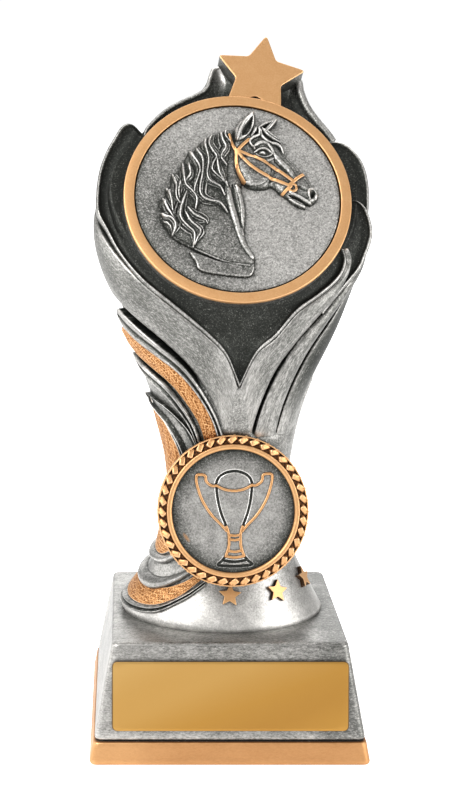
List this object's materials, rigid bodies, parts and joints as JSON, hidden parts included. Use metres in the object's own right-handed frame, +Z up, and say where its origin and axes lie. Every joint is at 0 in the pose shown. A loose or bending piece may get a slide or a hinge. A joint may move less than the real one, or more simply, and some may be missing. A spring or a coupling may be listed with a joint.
{
  "type": "horse trophy",
  "caption": "Upright award figure of curling plumes on a square plinth, with a horse relief in a tilted round frame, a small cup medallion with a rope edge, and a star on top.",
  "frame": {"origin": "middle of the plinth's underside", "axes": "+Z up, the front with the plate and both round faces towards -Y, +X to the viewer's right"},
  "size_m": [0.0703, 0.0658, 0.1761],
  "materials": {
    "casting": "cast resin with antique silver paint, gold paint on the ribbons, stars, cup lines and foot band",
    "medallion": "antique silver relief with dark hollows",
    "plate": "satin gold, bare"
  },
  "bodies": {
    "root": {"trophy_casting": "casting", "horse_medallion": "medallion", "engraving_plate": "plate"}
  },
  "joints": []
}
